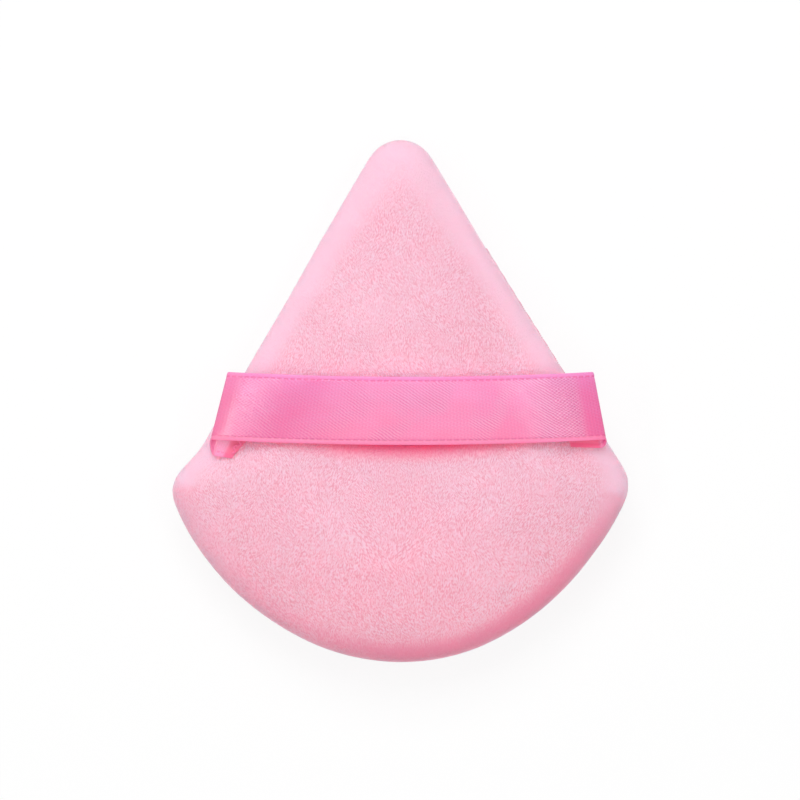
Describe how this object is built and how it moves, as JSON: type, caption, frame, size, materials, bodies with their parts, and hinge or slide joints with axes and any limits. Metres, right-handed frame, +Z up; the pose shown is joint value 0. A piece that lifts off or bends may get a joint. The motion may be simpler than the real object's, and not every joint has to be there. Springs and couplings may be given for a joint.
{
  "type": "powder puff",
  "caption": "Fan-shaped velour powder puff with padded crowned faces, a turned-in rim seam and a folded satin finger ribbon across its front.",
  "frame": {"origin": "under the middle of the outline, on the plane that the flat of the back rests on", "axes": "+Z up out of the ribbon side, +Y towards the point of the fan, +X along the ribbon to the right as pictured"},
  "size_m": [0.07, 0.08, 0.0196],
  "materials": {
    "velour_front": "short-pile velour, matt with a soft nap",
    "velour_back": "short-pile velour, matt with a soft nap",
    "foam": "open-cell foam, matt",
    "satin": "single-face satin ribbon with woven edges",
    "thread": "spun polyester sewing thread"
  },
  "bodies": {
    "puff": {"front_cover": "velour_front", "back_cover": "velour_back", "foam_core": "foam", "perimeter_seam_thread": "thread", "closing_stitch_thread": "thread", "ribbon_left_tail": "satin", "ribbon_right_tail": "satin", "left_bar_tack": "thread", "right_bar_tack": "thread"},
    "strap": {"ribbon_run": "satin"}
  },
  "joints": [
    {"name": "strap_lift", "type": "slide", "parent": "puff", "child": "strap", "axis": [0, 0, 1], "range_m": [0, 0.007], "deforming": ["ribbon_left_tail", "ribbon_right_tail"]}
  ]
}
